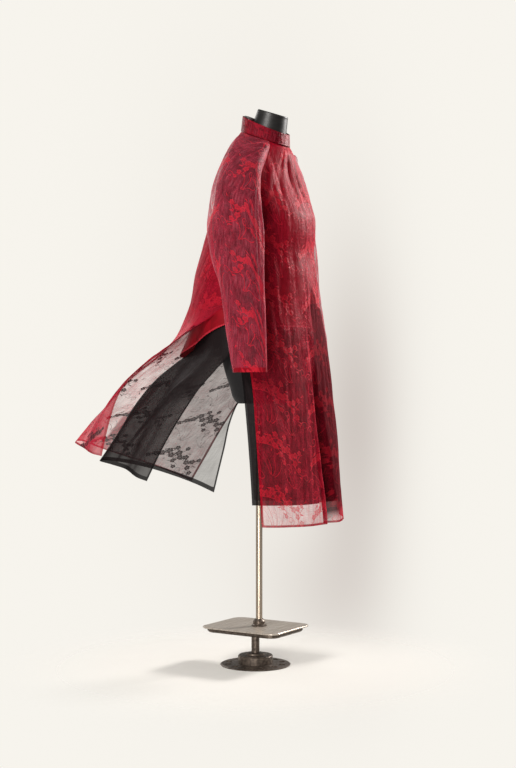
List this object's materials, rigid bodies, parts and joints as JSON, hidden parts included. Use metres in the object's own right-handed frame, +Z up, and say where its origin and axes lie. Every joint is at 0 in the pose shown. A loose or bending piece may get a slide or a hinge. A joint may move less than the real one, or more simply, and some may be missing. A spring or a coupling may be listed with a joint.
{
  "type": "ao dai tunic on a dress form",
  "caption": "Red sheer organza ao dai tunic with woven flowers over a plain black inner tunic, its back panel blown out, on a black limbless dress form and metal stand.",
  "frame": {"origin": "centre of the underside of the stand's base disc", "axes": "+Z up, the garment faces -Y, its wearer's right hand is at -X"},
  "size_m": [0.5372, 0.8023, 1.5232],
  "materials": {
    "red_organza": "sheer organza, satin woven flowers",
    "crimson_lining": "plain weave, soft sheen",
    "black_organza": "sheer organza, matt",
    "form_cover": "matt jersey cover",
    "neck_cap": "satin",
    "pole_brass": "polished",
    "plate_steel": "brushed",
    "base_iron": "oiled, dark"
  },
  "bodies": {
    "root": {"tunic_front": "red_organza", "tunic_back": "red_organza", "tunic_sleeve_right": "red_organza", "tunic_sleeve_left": "red_organza", "tunic_collar": "red_organza", "lining_front": "crimson_lining", "lining_back": "crimson_lining", "inner_front": "black_organza", "inner_back": "black_organza", "inner_sleeve_right": "black_organza", "inner_sleeve_left": "black_organza", "inner_collar": "black_organza", "form_torso": "form_cover", "form_neck_cap": "neck_cap", "stand_pole": "pole_brass", "stand_pole_collar": "base_iron", "stand_plate": "plate_steel", "stand_tray": "base_iron", "stand_flange": "base_iron", "stand_column": "base_iron", "stand_drum": "base_iron", "stand_base": "base_iron"}
  },
  "joints": []
}
